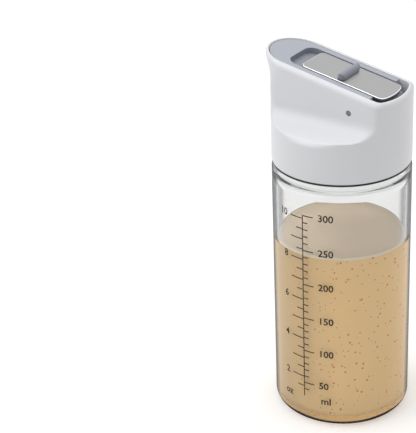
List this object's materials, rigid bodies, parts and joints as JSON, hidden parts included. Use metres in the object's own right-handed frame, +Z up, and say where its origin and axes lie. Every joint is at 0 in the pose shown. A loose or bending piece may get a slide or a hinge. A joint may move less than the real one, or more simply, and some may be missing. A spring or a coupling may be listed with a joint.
{
  "type": "salad dressing shaker bottle",
  "caption": "Round clear glass jar with a screw lid, a sprung lever that opens a pour spout and a sliding plate that locks it",
  "frame": {"origin": "middle of the jar's flat base, on the table", "axes": "+Z up along the jar's axis, -X towards the spout, +X towards the lever's tail, Y along the pivot pin"},
  "size_m": [0.07, 0.065, 0.1789],
  "materials": {
    "jar_glass": "clear polished glass",
    "lid_plastic": "satin white moulded plastic",
    "cap_plastic": "matt off-white moulded plastic",
    "seal_silicone": "soft grey silicone",
    "lever_plastic": "satin bluish grey moulded plastic",
    "pin_steel": "ground steel",
    "spring_steel": "drawn steel wire",
    "plate_steel": "fine brushed steel",
    "rib_plastic": "matt dark grey moulded plastic",
    "runner_plastic": "matt grey moulded plastic"
  },
  "bodies": {
    "jar": {"glass_jar": "jar_glass"},
    "cap_seal": {"neck_gasket": "seal_silicone"},
    "lid": {"lid_shell": "lid_plastic", "inner_cap": "cap_plastic", "spout_channel": "lid_plastic", "channel_washer": "seal_silicone", "air_valve": "seal_silicone", "pivot_pin": "pin_steel", "lever_spring": "spring_steel"},
    "lever": {"pour_lever": "lever_plastic", "spout_stopper": "seal_silicone"},
    "lock": {"lock_plate": "plate_steel", "thumb_rib": "rib_plastic", "plate_runner": "runner_plastic"}
  },
  "joints": [
    {"name": "lid_lift", "type": "slide", "parent": "jar", "child": "cap_seal", "axis": [0, 0, 1], "range_m": [0, 0.01251]},
    {"name": "lid_turn", "type": "hinge", "parent": "cap_seal", "child": "lid", "pos_m": [0, 0, 0.142], "axis": [0, 0, 1], "range_deg": [0, 900]},
    {"name": "lever_tilt", "type": "hinge", "parent": "lid", "child": "lever", "pos_m": [0.0136, 0, 0.15979], "axis": [0, 1, 0], "range_deg": [0, 12], "stiffness_Nm_per_rad": 0.2, "springref_deg": -8.59, "deforming": ["lever_spring"]},
    {"name": "plate_slide", "type": "slide", "parent": "lever", "child": "lock", "axis": [-0.9816, 0, 0.1908], "range_m": [0, 0.006]}
  ],
  "couplings": [
    {"joint": "lid_lift", "follows": "lid_turn", "m_per_rad": 0.00079577}
  ]
}
